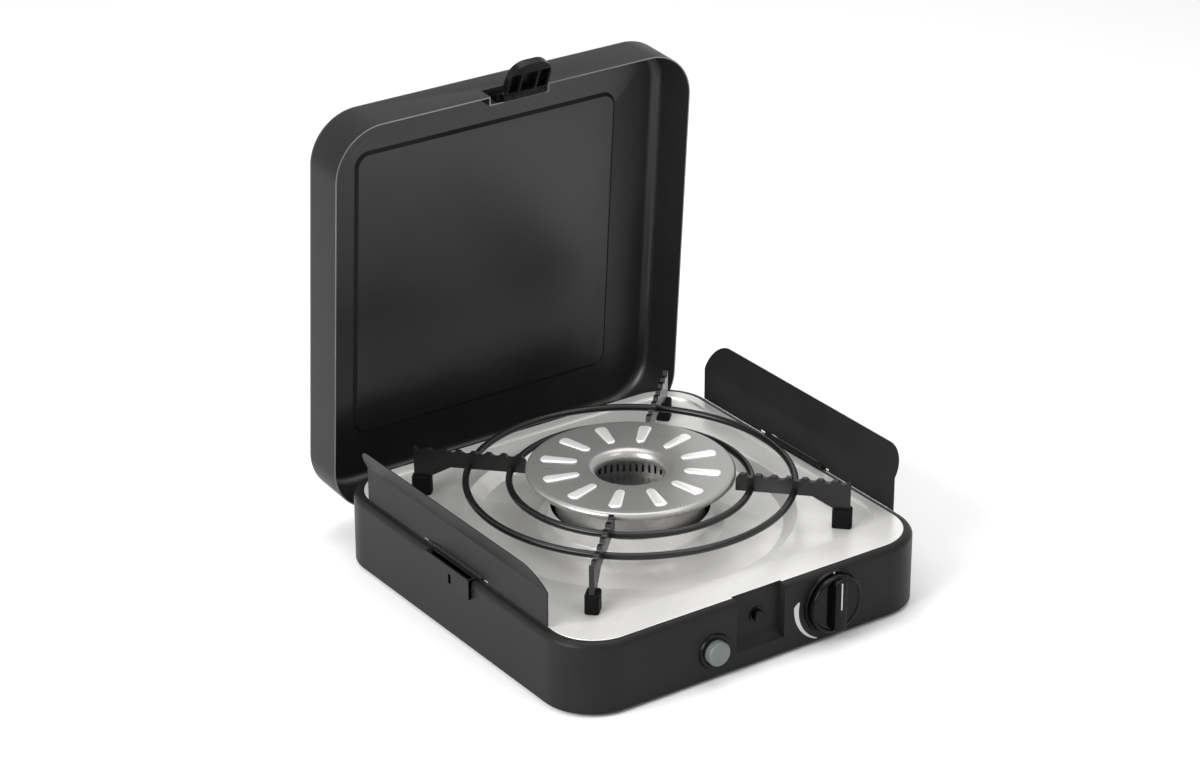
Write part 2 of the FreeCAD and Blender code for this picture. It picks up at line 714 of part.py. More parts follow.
keep(cut("inlet_nut", nut_blank, rod("nut_bore", "x", (inlet_y, knob_z), 5.25, 149.0, 155.0)))


# Igniter: housing through the front wall, bezel ring, push button.

keep(cut("igniter_housing",
         fuse("igniter_barrel",
              rod("igniter_neck", "y", (button_x, button_z), 9.95, wall_front, -112.0),
              rod("igniter_flange", "y", (button_x, button_z), 12.5, wall_front + steel, -147.5)),
         rod("igniter_bore", "y", (button_x, button_z), 9.05, -153.0, -134.0)))
keep(cut("igniter_bezel",
         cone("bezel_ring", "y", (button_x, button_z), 12.2, 13.0, wall_front - 1.8, wall_front),
         rod("bezel_bore", "y", (button_x, button_z), 9.6, -155.0, -150.0)))


def facing_front(thing, x, z):
    """Turn a body built along Z so that its Z points to the front, standing on the front wall."""
    return move(thing, x, wall_front, z, axis=FreeCAD.Vector(1, 0, 0), angle=90.0)


button_r, button_reach = size("button_r"), size("button_reach")
keep(facing_front(turned("igniter_button", [
    (0.0, -11.2), (button_r, -11.2), (button_r, button_reach - 1.8, 1.8),
    (button_r - 1.8, button_reach), (0.0, button_reach),
]), button_x, button_z))


# Leads held inside the body, clipped along the base cover.

keep(route("sensor_lead", [
    (8, -14, 16), (8, -14, 4.2), (20, -24, 4.2), (44, -38, 6), (57, -47, 16), (59.8, -58, 27.3), (59.8, -73.9, 27.3),
], 0.8))
keep(route("ignition_lead", [
    (-8, -14, 16), (-8, -14, 4.2), (-19, -30, 4.2), (-29, -56, 4.6), (-36, -78, 9), (-38.7, -94, 20), (-38.7, -111.9, 20),
], 0.85))


# Knob, spindle and the plunger that the push moves.

knob_r, knob_reach, knob_gap = size("knob_r"), size("knob_reach"), size("knob_gap")
keep(cut("knob_bezel",
         cone("knob_bezel_ring", "y", (knob_x, knob_z), knob_r + 1.7, knob_r + 2.2, wall_front - 2.6, wall_front),
         rod("knob_bezel_bore", "y", (knob_x, knob_z), knob_r + 0.5, -160.0, -150.0)))
disc_top = knob_reach - 4.4
knob_disc = turned("knob_disc", [
    (0.0, knob_gap), (knob_r, knob_gap), (knob_r, disc_top - 1.0), (knob_r - 0.8, disc_top - 0.2),
    (knob_r - 2.0, disc_top), (knob_r - 2.8, disc_top - 0.9), (0.0, disc_top - 0.9),
])
grip = slab("knob_grip", "XY_Plane", rounded(-5.1, 5.1, -19.3, 19.3, 3.0), disc_top - 2.0, knob_reach, 1.0)
knob_bore = named("Part::Cylinder", "knob_bore")
bind(knob_bore, "Radius", 4.0)
bind(knob_bore, "Height", 8.6)
keep(facing_front(cut("control_knob", fuse("knob_solid", knob_disc, grip), knob_bore), knob_x, knob_z))
keep(rod("tap_spindle", "y", (knob_x, knob_z), 4.0, wall_front - 8.6, -124.2))
keep(cut("tap_plunger",
         rod("plunger_rod", "y", (knob_x, knob_z), 7.0, -147.5, -121.0),
         rod("plunger_bore", "y", (knob_x, knob_z), 4.05, -148.0, -123.8)))


# Hinge brackets and pins inside the body, left and right.

hinge_x = size("hinge_x")
for side, x in (("left", -hinge_x), ("right", hinge_x)):
    ears = [
        block("ear_%s_%d" % (side, i), (x + low, 128.0, 2 * steel), (x + low + 1.5, 143.4, 42.5))
        for i, low in enumerate((-3.4, 1.9))
    ]
    foot = block("hinge_foot_%s" % side, (x - 14.0, 128.0, 2 * steel), (x + 14.0, 142.0, 2 * steel + 1.5))
    keep(cut("hinge_bracket_%s" % side, fuse("hinge_frame_%s" % side, *ears, foot),
             rod("ear_bore_%s" % side, "x", (hinge_y, hinge_z), 2.5, x - 5.0, x + 5.0)))
    keep(fuse("hinge_pin_%s" % side,
              rod("pin_stem_%s" % side, "x", (hinge_y, hinge_z), 2.5, x - 4.0, x + 4.0),
              rod("pin_head_%s" % side, "x", (hinge_y, hinge_z), 4.0, x - 4.6, x - 3.4),
              rod("pin_tail_%s" % side, "x", (hinge_y, hinge_z), 3.6, x + 3.4, x + 4.4)))


# Lid group, built closed and then swung open about the hinge axis.

hinge_point = FreeCAD.Vector(0, values["hinge_y"], values["hinge_z"])
swing = FreeCAD.Placement(FreeCAD.Vector(), FreeCAD.Rotation(FreeCAD.Vector(1, 0, 0), -values["lid_open"]),
                          hinge_point)


def swung(thing):
    """Swing a closed-lid piece to the open rest position."""
    thing.Placement = swing.multiply(thing.Placement)
    return keep(thing)


lid_half, lid_front, lid_back = size("lid_half"), size("lid_front"), size("lid_back")
rim, lid_h, lid_round = size("lid_rim"), size("lid_h"), size("lid_round")
lid_top = rim + lid_h
panel, step = size("panel_half"), size("panel_step")
latch_y, latch_z = size("latch_y"), size("latch_z")


panel_slope = 50.0


def lid_block(label, inset, low, high, rounding):
    points = rounded(-lid_half + inset, lid_half - inset, -lid_front + inset, lid_back - inset, corner - inset)
    return slab(label, "XY_Plane", points, low, high, rounding)


def panel_block(label, grow, low, high):
    points = rounded(-panel - grow, panel + grow, -panel - grow, panel + 3.0 + grow, 8.0 + grow)
    panel_form = slab(label, "XY_Plane", points, low, high)
    panel_form.Tip.TaperAngle = panel_slope
    return panel_form


lid_outer = lid_block("lid_outer", 0.0, rim, lid_top, lid_round)
lid_inner = lid_block("lid_inner", steel, rim - 2.0, lid_top - steel, lid_round - steel)
niche_half = 24.0
niche_back = -lid_front + 6.0
niche_top = rim + 12.0
lid_hollow = cut("lid_hollow", lid_inner,
                 panel_block("panel_inside", steel, lid_top - steel - step, lid_top),
                 block("niche_wall", (-niche_half - steel, -lid_front + 0.3, rim - 3.0),
                       (niche_half + steel, niche_back + steel, niche_top + steel)))
rivet_spots = [(x + dx, z) for x in (-95.0, 95.0) for dx in (-6.2, 6.2) for z in (60.5, 68.5)]
swung(cut("lid_shell", lid_outer, lid_hollow,
          panel_block("panel_outside", 0.0, lid_top - step, lid_top + 1.0),
          block("niche", (-niche_half, -lid_front - 1.0, rim - 1.0), (niche_half, niche_back, niche_top)),
          group("rivet_bores", *[
              rod("rivet_bore_%d" % i, "y", spot, 1.8, 148.0, 153.0) for i, spot in enumerate(rivet_spots)
          ])))
arm_face = lid_back - steel
for side, x in (("left", -hinge_x), ("right", hinge_x)):
    arm = fuse("arm_frame_%s" % side,
               rod("arm_hub_%s" % side, "x", (hinge_y, hinge_z), 5.0, x - 1.5, x + 1.5),
               block("arm_elbow_%s" % side, (x - 1.5, hinge_y, hinge_z - 2.5), (x + 1.5, arm_face, hinge_z + 2.5)),
               block("arm_riser_%s" % side, (x - 1.5, arm_face - 4.1, hinge_z - 2.5), (x + 1.5, arm_face, 72.0)),
               block("arm_tab_%s" % side, (x - 9.5, arm_face - 1.2, 56.5), (x + 9.5, arm_face, 72.0)))
    bores = [
        rod("arm_rivet_bore_%s_%d" % (side, i), "y", spot, 1.8, 147.0, 152.0)
        for i, spot in enumerate(rivet_spots) if abs(spot[0] - x.value) < 10.0
    ]
    swung(cut("hinge_arm_%s" % side, arm,
              rod("arm_bore_%s" % side, "x", (hinge_y, hinge_z), 2.55, x - 3.0, x + 3.0), *bores))
swung(group("lid_rivets", *[
    fuse("rivet_%d" % i,
         rod("rivet_shank_%d" % i, "y", spot, 1.8, arm_face - 1.2, lid_back),
         rod("rivet_tail_%d" % i, "y", spot, 2.8, arm_face - 2.2, arm_face - 1.2),
         cone("rivet_head_%d" % i, "y", spot, 3.2, 2.2, lid_back, lid_back + 1.1))
    for i, spot in enumerate(rivet_spots)
]))


# Latch: a bracket in the lid's niche reaches below the rim and carries the pull tab on a headed pin.
# The bracket's lower end and the tab lie in the body's recess when the lid is shut.
# The tab has three pockets between ribs and leans towards the body in the rest position.

tab_half = size("latch_w") / 2
arm_near, arm_far = 11.0, 17.4
hub_r = 3.0
arm_side = [
    (niche_back, latch_z + 7.6), (latch_y + hub_r, latch_z + 7.6), (latch_y + hub_r, latch_z),
    (latch_y - hub_r, latch_z), (latch_y - hub_r, latch_z + 2.0), (latch_y + hub_r + 0.5, latch_z + 14.0),
    (niche_back, latch_z + 14.0),
]
pin_way = ("x", (latch_y, latch_z))
bracket_arms = [
    fuse("bracket_arm_%d" % i,
         slab("bracket_rib_%d" % i, "YZ_Plane", arm_side, start, start + arm_far - arm_near),
         rod("bracket_hub_%d" % i, *pin_way, hub_r, start, start + arm_far - arm_near))
    for i, start in enumerate((-arm_far, arm_near))
]
bracket_plate = block("bracket_plate", (-arm_far, niche_back - 1.5, latch_z + 7.6), (arm_far, niche_back, latch_z + 17.0))
swung(cut("latch_bracket", fuse("bracket_form", bracket_plate, *bracket_arms),
          rod("bracket_bore", *pin_way, 1.5, -20.0, 20.0)))
swung(fuse("latch_pin",
           rod("latch_pin_stem", *pin_way, 1.5, -arm_far - 0.5, arm_far + 0.5),
           rod("latch_pin_head", *pin_way, 2.5, -arm_far - 0.9, -arm_far),
           rod("latch_pin_tail", *pin_way, 2.5, arm_far, arm_far + 0.9)))

tab_inner, tab_outer = latch_z - 2.3, latch_z + 4.2
tab_end = latch_y - 28.6
tab_root = latch_y - 3.9
tab_plate = slab("tab_plate", "XY_Plane", [
    (-tab_half, tab_end + 13.5, 13.5), (-tab_half + 13.5, tab_end), (tab_half - 13.5, tab_end, 13.5),
    (tab_half, tab_end + 13.5), (tab_half, tab_root), (-tab_half, tab_root),
], tab_inner, tab_outer, 1.4)
tab_pockets = [
    block("tab_pocket_%d" % i, (x - reach, latch_y - 20.6, tab_inner - 1.0), (x + reach, latch_y - 5.0, tab_inner + 5.0))
    for i, (x, reach) in enumerate(((-11.8, 4.1), (0.0, 5.9), (11.8, 4.1)))
]
tab_lean = 18.0
tab = cut("latch_tab",
          fuse("tab_solid", tab_plate,
               rod("tab_barrel", *pin_way, hub_r, -arm_near + 0.4, arm_near - 0.4),
               block("tab_neck", (-arm_near + 0.4, tab_root - 0.6, tab_inner), (arm_near - 0.4, latch_y, latch_z + 3.0))),
          rod("tab_bore", *pin_way, 1.55, -tab_half - 1.0, tab_half + 1.0), *tab_pockets)
tab.Placement = FreeCAD.Placement(
    FreeCAD.Vector(), FreeCAD.Rotation(FreeCAD.Vector(1, 0, 0), tab_lean),
    FreeCAD.Vector(0, latch_y.value, latch_z.value))
swung(tab)


# Wind shields with their clips and hinge pins, left and right.

pin_x, pin_z = size("pin_x"), size("pin_z")
clip_half = size("clip_half")
shield_x, sheet_half = size("shield_x"), size("shield_t") / 2
bend_z, shield_top, flare = size("shield_bend"), size("shield_top"), size("shield_flare")
shield_low = 54.0
knuckle_r = 1.85


def both(sign, low, high):
    """Order two distances from the middle for the left (-1) or right (+1) side."""
    return (low, high) if sign > 0 else (-high, -low)


for side, sign, back_end, front_end in (("left", -1, 112.0, -110.7), ("right", 1, 108.7, -112.0)):
    sheet_points = [
        (shield_x + sheet_half, shield_low), (shield_x + sheet_half, bend_z),
        (shield_x + flare + sheet_half, shield_top), (shield_x + flare - sheet_half, shield_top),
        (shield_x - sheet_half, bend_z), (shield_x - sheet_half, shield_low),
    ]
    if sign < 0:
        sheet_points = [(-x, z) for x, z in reversed(sheet_points)]
    bent = slab("shield_sheet_%s" % side, "XZ_Plane", sheet_points, front_end, back_end)
    r = size("shield_corner")
    face = slab("shield_face_%s" % side, "YZ_Plane", [
        (front_end, shield_low - 1.0), (back_end, shield_low - 1.0),
        (back_end, shield_top - r, r), (back_end - r, shield_top),
        (front_end + r, shield_top, r), (front_end, shield_top - r),
    ], *both(sign, 140.0, 160.0))
    low, high = both(sign, 140.0, 150.0)
    notch = block("shield_notch_%s" % side, (low, -27.4, 53.0), (high, 27.4, 57.8))
    lugs = [
        rod("shield_lug_%s_%d" % (side, i), "y", (sign * pin_x, pin_z), knuckle_r, start, start + 5.6)
        for i, start in enumerate((-33.0, 27.4))
    ]
    keep(cut("wind_shield_%s" % side,
             fuse("shield_solid_%s" % side,
                  cut("shield_cut_%s" % side, common("shield_form_%s" % side, bent, face), notch), *lugs),
             rod("shield_bore_%s" % side, "y", (sign * pin_x, pin_z), 1.05, -40.0, 40.0)))
    keep(rod("shield_pin_%s" % side, "y", (sign * pin_x, pin_z), 1.0, -33.8, 33.8))

    top_low, top_high = both(sign, 143.6, 152.9)
    drop_low, drop_high = both(sign, 152.1, 152.9)
    hook_low, hook_high = both(sign, body_x, 152.9)
    strip = block("clip_top_%s" % side, (top_low, -clip_half, 52.6), (top_high, clip_half, 53.4))
    drop = block("clip_drop_%s" % side, (drop_low, -clip_half, 38.4), (drop_high, clip_half, 53.4))
    hook = block("clip_foot_%s" % side, (hook_low, -clip_half, 38.4), (hook_high, clip_half, 39.4))
    knuckle = rod("clip_knuckle_%s" % side, "y", (sign * pin_x, pin_z), knuckle_r, -clip_half, clip_half)
    low, high = both(sign, 151.6, 154.0)
    window_low, window_high = both(sign, 147.2, 151.6)
    keep(cut("shield_clip_%s" % side, fuse("clip_form_%s" % side, strip, drop, hook, knuckle),
             block("clip_window_%s" % side, (window_low, -25.0, 52.0), (window_high, 25.0, 54.0)),
             block("clip_slot_%s" % side, (low, -5.1, 40.5), (high, -1.9, 48.0)),
             rod("clip_bore_%s" % side, "y", (sign * pin_x, pin_z), 1.0, -30.0, 30.0)))


# Pan support: two wire rings, four scalloped arms and their rubber boots, lifted off as one.

ring_z, wire_r = size("ring_z"), size("wire_r")
keep(torus("support_ring_outer", size("ring_big"), wire_r, ring_z))
keep(torus("support_ring_inner", size("ring_small"), wire_r, ring_z))
arm_low, crest, tip = size("arm_low"), size("arm_crest"), size("arm_tip")
arm_in, arm_out, arm_t = size("arm_in"), size("arm_out"), size("arm_t")
valley_half = 3.6
dip = values["valley_depth"]
valley_bow = -(valley_half ** 2 + dip ** 2) / (2 * dip)
boot_low = size("boot_low")
arm_points = [
    (arm_in, arm_low), (127.5, arm_low), (143.0, 64.5), (143.0, boot_low + 1.5), (arm_out, boot_low + 1.5),
    (arm_out, tip - 1.0), (arm_out - 1.0, tip),
]
for k in reversed(range(7)):
    valley = size("ring_small") + size("valley_pitch") * k
    arm_points.append((valley + valley_half, crest, valley_bow))
    arm_points.append((valley - valley_half, crest))
arm_points += [(arm_in + 3.0, crest), (arm_in, arm_low + 8.5)]
leg_middle = 148.6
for place, angle in (("back_right", 45), ("back_left", 135), ("front_left", 225), ("front_right", 315)):
    turn = FreeCAD.Placement(FreeCAD.Vector(), FreeCAD.Rotation(FreeCAD.Vector(0, 0, 1), angle))
    arm = slab("arm_blank_%s" % place, "XZ_Plane", arm_points, -arm_t / 2, arm_t / 2)
    seats = [
        torus("ring_seat_%s_%d" % (place, i), radius, wire_r + 0.02, ring_z)
        for i, radius in enumerate((size("ring_big"), size("ring_small")))
    ]
    arm = cut("support_arm_%s" % place, arm, *seats)
    arm.Placement = turn
    keep(arm)
    boot = slab("boot_blank_%s" % place, "XY_Plane",
                rounded(leg_middle - 6.9, leg_middle + 6.9, -5.0, 5.0, 2.4), boot_low, 65.0, 1.2)
    leg_seat = block("boot_seat_%s" % place, (143.0, -arm_t / 2, boot_low + 1.5), (arm_out, arm_t / 2, 70.0))
    slope_seat = slab("boot_slope_%s" % place, "XZ_Plane", arm_points, -arm_t / 2, arm_t / 2)
    boot = cut("boot_%s" % place, boot, leg_seat, slope_seat)
    boot.Placement = turn
    keep(boot)


# Check every object and write each sub-part.

doc.recompute()
for thing in doc.Objects:
    state = " ".join(thing.State)
    if "Invalid" in state or "Error" in state:
        raise RuntimeError("%s failed: %s" % (thing.Label, state))
os.makedirs("parts", exist_ok=True)
for label, thing in parts.items():
    shape = thing.Shape
    if shape.isNull() or not shape.isValid() or not shape.Solids:
        raise RuntimeError("%s has no valid solid" % label)
    shape.exportStep("parts/%s.step" % label)
    print("%s: %d solids, %.1f mm3" % (label, len(shape.Solids), shape.Volume))
print("%d sub-parts" % len(parts))
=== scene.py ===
import bmesh
import bpy
import json
import math
from mathutils import Euler, Matrix, Vector

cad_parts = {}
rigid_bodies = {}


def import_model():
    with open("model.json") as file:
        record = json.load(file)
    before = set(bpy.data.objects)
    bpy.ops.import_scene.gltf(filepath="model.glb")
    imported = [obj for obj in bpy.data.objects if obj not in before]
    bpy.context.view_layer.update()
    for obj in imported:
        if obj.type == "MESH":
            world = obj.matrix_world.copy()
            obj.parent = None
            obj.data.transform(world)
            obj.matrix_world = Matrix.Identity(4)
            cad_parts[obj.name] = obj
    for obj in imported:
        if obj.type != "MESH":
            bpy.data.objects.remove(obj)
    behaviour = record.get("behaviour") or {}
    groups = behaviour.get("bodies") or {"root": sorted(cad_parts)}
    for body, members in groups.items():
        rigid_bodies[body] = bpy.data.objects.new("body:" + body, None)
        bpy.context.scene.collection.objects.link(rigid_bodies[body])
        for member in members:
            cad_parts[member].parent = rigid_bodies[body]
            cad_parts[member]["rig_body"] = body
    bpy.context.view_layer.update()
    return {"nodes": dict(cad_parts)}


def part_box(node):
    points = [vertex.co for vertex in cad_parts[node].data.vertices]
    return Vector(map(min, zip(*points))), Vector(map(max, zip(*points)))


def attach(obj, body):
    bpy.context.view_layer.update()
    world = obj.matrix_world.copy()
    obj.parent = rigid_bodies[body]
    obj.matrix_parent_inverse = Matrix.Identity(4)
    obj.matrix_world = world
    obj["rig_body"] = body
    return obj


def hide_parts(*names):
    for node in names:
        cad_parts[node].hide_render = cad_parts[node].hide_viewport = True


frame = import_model()
nodes = frame["nodes"]


mm = 0.001
print("frame loaded:", len(nodes), "nodes")


# camera, at the photograph's place and angle

camera = {
    "place": (-1.3020, -1.8232, 1.2107),
    "azimuth": -34.99,
    "elevation": 25.31,
    "lens": 108.2,
}


def placeCamera(look):
    azimuth, elevation = math.radians(look["azimuth"]), math.radians(look["elevation"])
    data = bpy.data.cameras.new("photoCamera")
    data.lens = look["lens"]
    data.sensor_width = 36.0
    data.clip_end = 20.0
    thing = bpy.data.objects.new("photoCamera", data)
    bpy.context.scene.collection.objects.link(thing)
    thing.location = look["place"]
    thing.rotation_euler = Euler((math.radians(90) - elevation, 0.0, azimuth), "XYZ")
    bpy.context.scene.camera = thing


placeCamera(camera)


# material tools

def toLinear(hexColour):  # sRGB hex to linear RGBA
    parts = [int(hexColour[i:i + 2], 16) / 255 for i in (1, 3, 5)]
    return tuple(c / 12.92 if c <= 0.04045 else ((c + 0.055) / 1.055) ** 2.4 for c in parts) + (1.0,)


def addNode(tree, kind, settings=None, links=None):  # one node with its settings and what feeds its sockets
    node = tree.nodes.new(kind)
    for key, value in (settings or {}).items():
        if isinstance(key, int) or key in node.inputs:
            node.inputs[key].default_value = value
        else:
            setattr(node, key, value)
    for key, source in (links or {}).items():
        tree.links.new(source, node.inputs[key])
    return node


def newSurface(name, look):  # a bare principled surface and its object coordinates
    material = bpy.data.materials.new(name)
    material.use_nodes = True
    tree = material.node_tree
    shader = tree.nodes["Principled BSDF"]
    shader.inputs["Base Color"].default_value = toLinear(look["colour"])
    for socket, value in look.get("sockets", {}).items():
        shader.inputs[socket].default_value = value
    place = addNode(tree, "ShaderNodeTexCoord").outputs["Object"]
    return material, tree, shader, place


def spread(tree, source, low, high, start=0.3, end=0.7):  # a pattern remapped to a range
    return addNode(tree, "ShaderNodeMapRange", {1: start, 2: end, 3: low, 4: high}, {0: source}).outputs[0]


def tint(tree, source, dark, light, start=0.3, end=0.7):  # a pattern as a colour between two hex values
    amount = spread(tree, source, 0.0, 1.0, start, end)
    mix = addNode(tree, "ShaderNodeMix", {"data_type": "RGBA"}, {0: amount})
    mix.inputs[6].default_value = toLinear(dark)
    mix.inputs[7].default_value = toLinear(light)
    return mix.outputs[2]


def bump(tree, source, heightMm, normal=None):
    links = {"Height": source}
    if normal is not None:
        links["Normal"] = normal
    return addNode(tree, "ShaderNodeBump", {"Strength": 1.0, "Distance": heightMm * mm}, links).outputs[0]


def noise(tree, place, sizeMm, detail=2.0, roughness=0.5):  # sizeMm is the distance between two spots
    settings = {"Scale": 1000.0 / sizeMm, "Detail": detail, "Roughness": roughness}
    return addNode(tree, "ShaderNodeTexNoise", settings, {"Vector": place}).outputs["Fac"]


def paintedSteel(name, look):  # sprayed coat: fine orange peel, faint dust and slow gloss changes
    material, tree, shader, place = newSurface(name, look)
    peel = noise(tree, place, look["peelMm"], 1.0)
    grit = noise(tree, place, look["gritMm"])
    cloud = noise(tree, place, 60.0, 3.0)
    tree.links.new(tint(tree, cloud, look["colour"], look["dust"]), shader.inputs["Base Color"])
    tree.links.new(spread(tree, cloud, *look["gloss"]), shader.inputs["Roughness"])
    fine = bump(tree, grit, look["gritMm"] * 0.02)
    tree.links.new(bump(tree, peel, look["peelMm"] * 0.010, fine), shader.inputs["Normal"])
    return material


def rolledSteel(name, look):  # bare sheet: drawn lines along one way, soft smears in the shine
    material, tree, shader, place = newSurface(name, look)
    along = addNode(tree, "ShaderNodeMapping", {"Scale": look["way"]}, {"Vector": place}).outputs[0]
    lines = noise(tree, along, look["lineMm"], 3.0, 0.6)
    smear = noise(tree, place, 35.0, 3.0)
    tree.links.new(tint(tree, lines, look["colour"], look["bright"], 0.25, 0.75), shader.inputs["Base Color"])
    shine, change = spread(tree, lines, *look["gloss"]), spread(tree, smear, -0.02, 0.02)
    both = addNode(tree, "ShaderNodeMath", {"operation": "ADD"}, {0: shine, 1: change}).outputs[0]
    tree.links.new(both, shader.inputs["Roughness"])
    tree.links.new(bump(tree, lines, look["lineMm"] * 0.001), shader.inputs["Normal"])
    return material


def mouldedPlastic(name, look):  # spark-eroded mould grain: small cells, each catching the light
    material, tree, shader, place = newSurface(name, look)
    settings = {"Scale": 1000.0 / look["grainMm"]}
    cells = addNode(tree, "ShaderNodeTexVoronoi", settings, {"Vector": place}).outputs[0]
    cloud = noise(tree, place, 14.0, 3.0)
    tree.links.new(tint(tree, cloud, look["colour"], look["bright"]), shader.inputs["Base Color"])
    tree.links.new(spread(tree, cells, *look["gloss"], 0.1, 0.7), shader.inputs["Roughness"])
    tree.links.new(bump(tree, cells, look["grainMm"] * 0.06), shader.inputs["Normal"])
    return material


# materials, each named for what it is

materials = {}
# powder coat on pressed steel: near black, a broad soft sheen on the rounded edges
materials["blackPowderCoat"] = paintedSteel("blackPowderCoat", {
    "colour": "#1c1c1d", "dust": "#202021", "gloss": (0.36, 0.42), "peelMm": 1.6, "gritMm": 0.45,
    "sockets": {"Specular IOR Level": 0.11}})
# the same coat where it lies thicker and smoother, inside the lid: more sheen
materials["thickPowderCoat"] = paintedSteel("thickPowderCoat", {
    "colour": "#1b1b1c", "dust": "#1f1f20", "gloss": (0.33, 0.38), "peelMm": 2.0, "gritMm": 0.45,
    "sockets": {"Specular IOR Level": 0.56}})
# a lighter grey copy of the coat along the lid's rim, where it meets the body: a painted highlight for the
# light the rim's edge catches, satin
materials["rimHighlightCoat"] = paintedSteel("rimHighlightCoat", {
    "colour": "#6c6c6d", "dust": "#858586", "gloss": (0.34, 0.42), "peelMm": 2.4, "gritMm": 0.6})
# stove enamel on wire and flat bar: darker and glossier, a slightly lumpy skin
materials["blackStoveEnamel"] = paintedSteel("blackStoveEnamel", {
    "colour": "#0f0f10", "dust": "#141415", "gloss": (0.24, 0.32), "peelMm": 2.6, "gritMm": 0.6,
    "sockets": {"Specular IOR Level": 0.34}})
# stainless sheet, cold rolled: pale grey metal with a faint grain from side to side
materials["rolledStainless"] = rolledSteel("rolledStainless", {
    "colour": "#d8d7d5", "bright": "#dfdedc", "gloss": (0.30, 0.36), "way": (0.05, 1.0, 1.0), "lineMm": 0.6,
    "sockets": {"Metallic": 0.45}})
# stainless pressing for the burner: a touch darker, polished by the press tool
materials["pressedStainless"] = rolledSteel("pressedStainless", {
    "colour": "#979695", "bright": "#9e9d9c", "gloss": (0.28, 0.32), "way": (1.0, 1.0, 0.2), "lineMm": 1.4,
    "sockets": {"Metallic": 0.62}})
# the same steel on the tops of the ribs: smoother where the press tool polished it, and lighter in colour as
# a painted highlight
materials["polishedRibHighlight"] = rolledSteel("polishedRibHighlight", {
    "colour": "#dedddc", "bright": "#e6e5e4", "gloss": (0.22, 0.26), "way": (1.0, 1.0, 1.0), "lineMm": 1.4,
    "sockets": {"Metallic": 0.4}})
# zinc plated steel: cool grey with a satin spangle
materials["zincPlate"] = rolledSteel("zincPlate", {
    "colour": "#9a9c9e", "bright": "#b2b4b5", "gloss": (0.30, 0.44), "way": (1.0, 1.0, 1.0), "lineMm": 3.0,
    "sockets": {"Metallic": 1.0}})
# blackened steel on screw and hinge pins: dark, with a dull metal gleam
materials["blackenedSteel"] = rolledSteel("blackenedSteel", {
    "colour": "#1c1c1e", "bright": "#29292b", "gloss": (0.28, 0.38), "way": (1.0, 1.0, 1.0), "lineMm": 1.0,
    "sockets": {"Metallic": 1.0}})
# turned brass: warm yellow metal, fine tool rings
materials["turnedBrass"] = rolledSteel("turnedBrass", {
    "colour": "#b08d4a", "bright": "#c9a45c", "gloss": (0.24, 0.34), "way": (1.0, 1.0, 1.0), "lineMm": 0.7,
    "sockets": {"Metallic": 1.0}})
# drawn copper pipe: orange metal with slight tarnish
materials["drawnCopper"] = rolledSteel("drawnCopper", {
    "colour": "#9c5a3c", "bright": "#c27a55", "gloss": (0.28, 0.4), "way": (0.1, 1.0, 1.0), "lineMm": 1.2,
    "sockets": {"Metallic": 1.0}})
# die cast aluminium: dull pale grey with a sandy skin
materials["castAluminium"] = paintedSteel("castAluminium", {
    "colour": "#8b8c8e", "dust": "#a3a4a5", "gloss": (0.45, 0.55), "peelMm": 1.2, "gritMm": 0.4,
    "sockets": {"Metallic": 1.0}})
# moulded ABS, black: fine mould grain with a satin gleam
materials["blackAbs"] = mouldedPlastic("blackAbs", {
    "colour": "#0b0b0c", "bright": "#0f0f10", "gloss": (0.20, 0.28), "grainMm": 0.35,
    "sockets": {"Specular IOR Level": 0.13}})
# the same ABS polished, on the knob's disc and blade: almost black, sharp reflections
materials["polishedAbs"] = paintedSteel("polishedAbs", {
    "colour": "#050506", "dust": "#070708", "gloss": (0.12, 0.16), "peelMm": 3.0, "gritMm": 0.8,
    "sockets": {"Specular IOR Level": 0.14}})
# moulded polyamide, sage grey: satin, for the push button
materials["sagePolyamide"] = mouldedPlastic("sagePolyamide", {
    "colour": "#5a615e", "bright": "#656c69", "gloss": (0.30, 0.40), "grainMm": 0.4})
# moulded rubber: deep black, dry and soft to the light
materials["blackRubber"] = mouldedPlastic("blackRubber", {
    "colour": "#0a0a0b", "bright": "#0f0f10", "gloss": (0.55, 0.68), "grainMm": 0.5,
    "sockets": {"Specular IOR Level": 0.07}})
# glazed alumina: off-white, glossy
materials["glazedCeramic"] = mouldedPlastic("glazedCeramic", {
    "colour": "#e4e0d6", "bright": "#eeeae0", "gloss": (0.15, 0.22), "grainMm": 1.5})
# coated glass sleeve on the leads: red brown and matt
materials["glassSleeve"] = mouldedPlastic("glassSleeve", {
    "colour": "#5a2018", "bright": "#6d2b20", "gloss": (0.5, 0.62), "grainMm": 0.6})
# pad printing ink: matt off-white film, slightly uneven where it covers the grain
materials["whitePadPrint"] = mouldedPlastic("whitePadPrint", {
    "colour": "#bcbdbb", "bright": "#c8c9c7", "gloss": (0.45, 0.55), "grainMm": 0.5})
print("materials made:", len(materials))


# pieces that keep the CAD shape, with their pressed and moulded edges rounded

